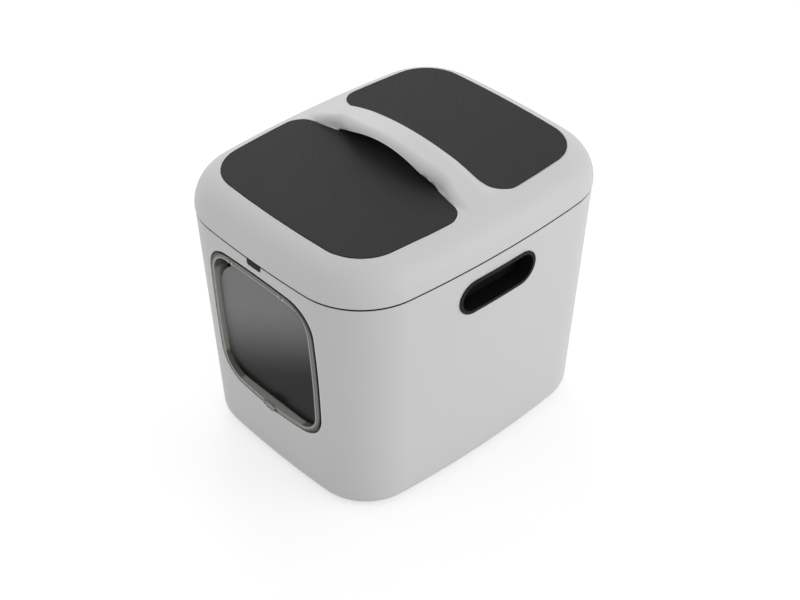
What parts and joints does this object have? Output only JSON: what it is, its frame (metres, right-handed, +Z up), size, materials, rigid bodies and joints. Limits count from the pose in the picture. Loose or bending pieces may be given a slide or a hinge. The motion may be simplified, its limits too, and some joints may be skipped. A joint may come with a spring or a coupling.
{
  "type": "litter box",
  "caption": "Deep bowed litter box with a rear-hinged domed lid, handle bridge and mats, a tinted swing flap, front latch and filtered side grips.",
  "frame": {"origin": "on the floor under the middle of the tub", "axes": "+X to the right seen from the front, -Y to the front with the flap, +Z up"},
  "size_m": [0.4012, 0.5038, 0.446],
  "materials": {
    "shell": "fine satin moulding, light grey",
    "mat": "dark rubber with a fine pressed texture",
    "smoke": "smoke-tinted see-through plastic",
    "seal": "matt black",
    "dark": "satin black moulding",
    "steel": "bright",
    "carbon": "open black foam"
  },
  "bodies": {
    "tub_body": {"tub": "shell", "rim_seal": "seal", "lid_hinge_pin_left": "steel", "lid_hinge_pin_right": "steel", "door_frame": "smoke", "door_screws": "steel", "latch_guide": "dark", "latch_screws": "steel", "latch_spring": "steel", "grip_cup_right": "dark", "grip_cup_left": "dark", "carbon_filter_right": "carbon", "carbon_filter_left": "carbon", "filter_cover_right": "dark", "filter_cover_left": "dark"},
    "lid_body": {"lid": "shell", "front_mat": "mat", "rear_mat": "mat"},
    "flap_body": {"flap_pane": "smoke", "flap_pin_left": "steel", "flap_pin_right": "steel"},
    "latch_body": {"latch_button": "dark"},
    "lock_body": {"flap_lock": "smoke"}
  },
  "joints": [
    {"name": "lid_hinge", "type": "hinge", "parent": "tub_body", "child": "lid_body", "pos_m": [0, 0.25155, 0.3618], "axis": [-1, 0, 0], "range_deg": [0, 95]},
    {"name": "flap_hinge", "type": "hinge", "parent": "tub_body", "child": "flap_body", "pos_m": [0, -0.2357, 0.322], "axis": [1, 0, 0], "range_deg": [-80, 80]},
    {"name": "latch_press", "type": "slide", "parent": "tub_body", "child": "latch_body", "axis": [0, 1, 0], "range_m": [0, 0.0035], "stiffness_N_per_m": 600, "deforming": ["latch_spring"]},
    {"name": "lock_slide", "type": "slide", "parent": "tub_body", "child": "lock_body", "axis": [0, -0.0558, 0.9984], "range_m": [0, 0.008]}
  ]
}
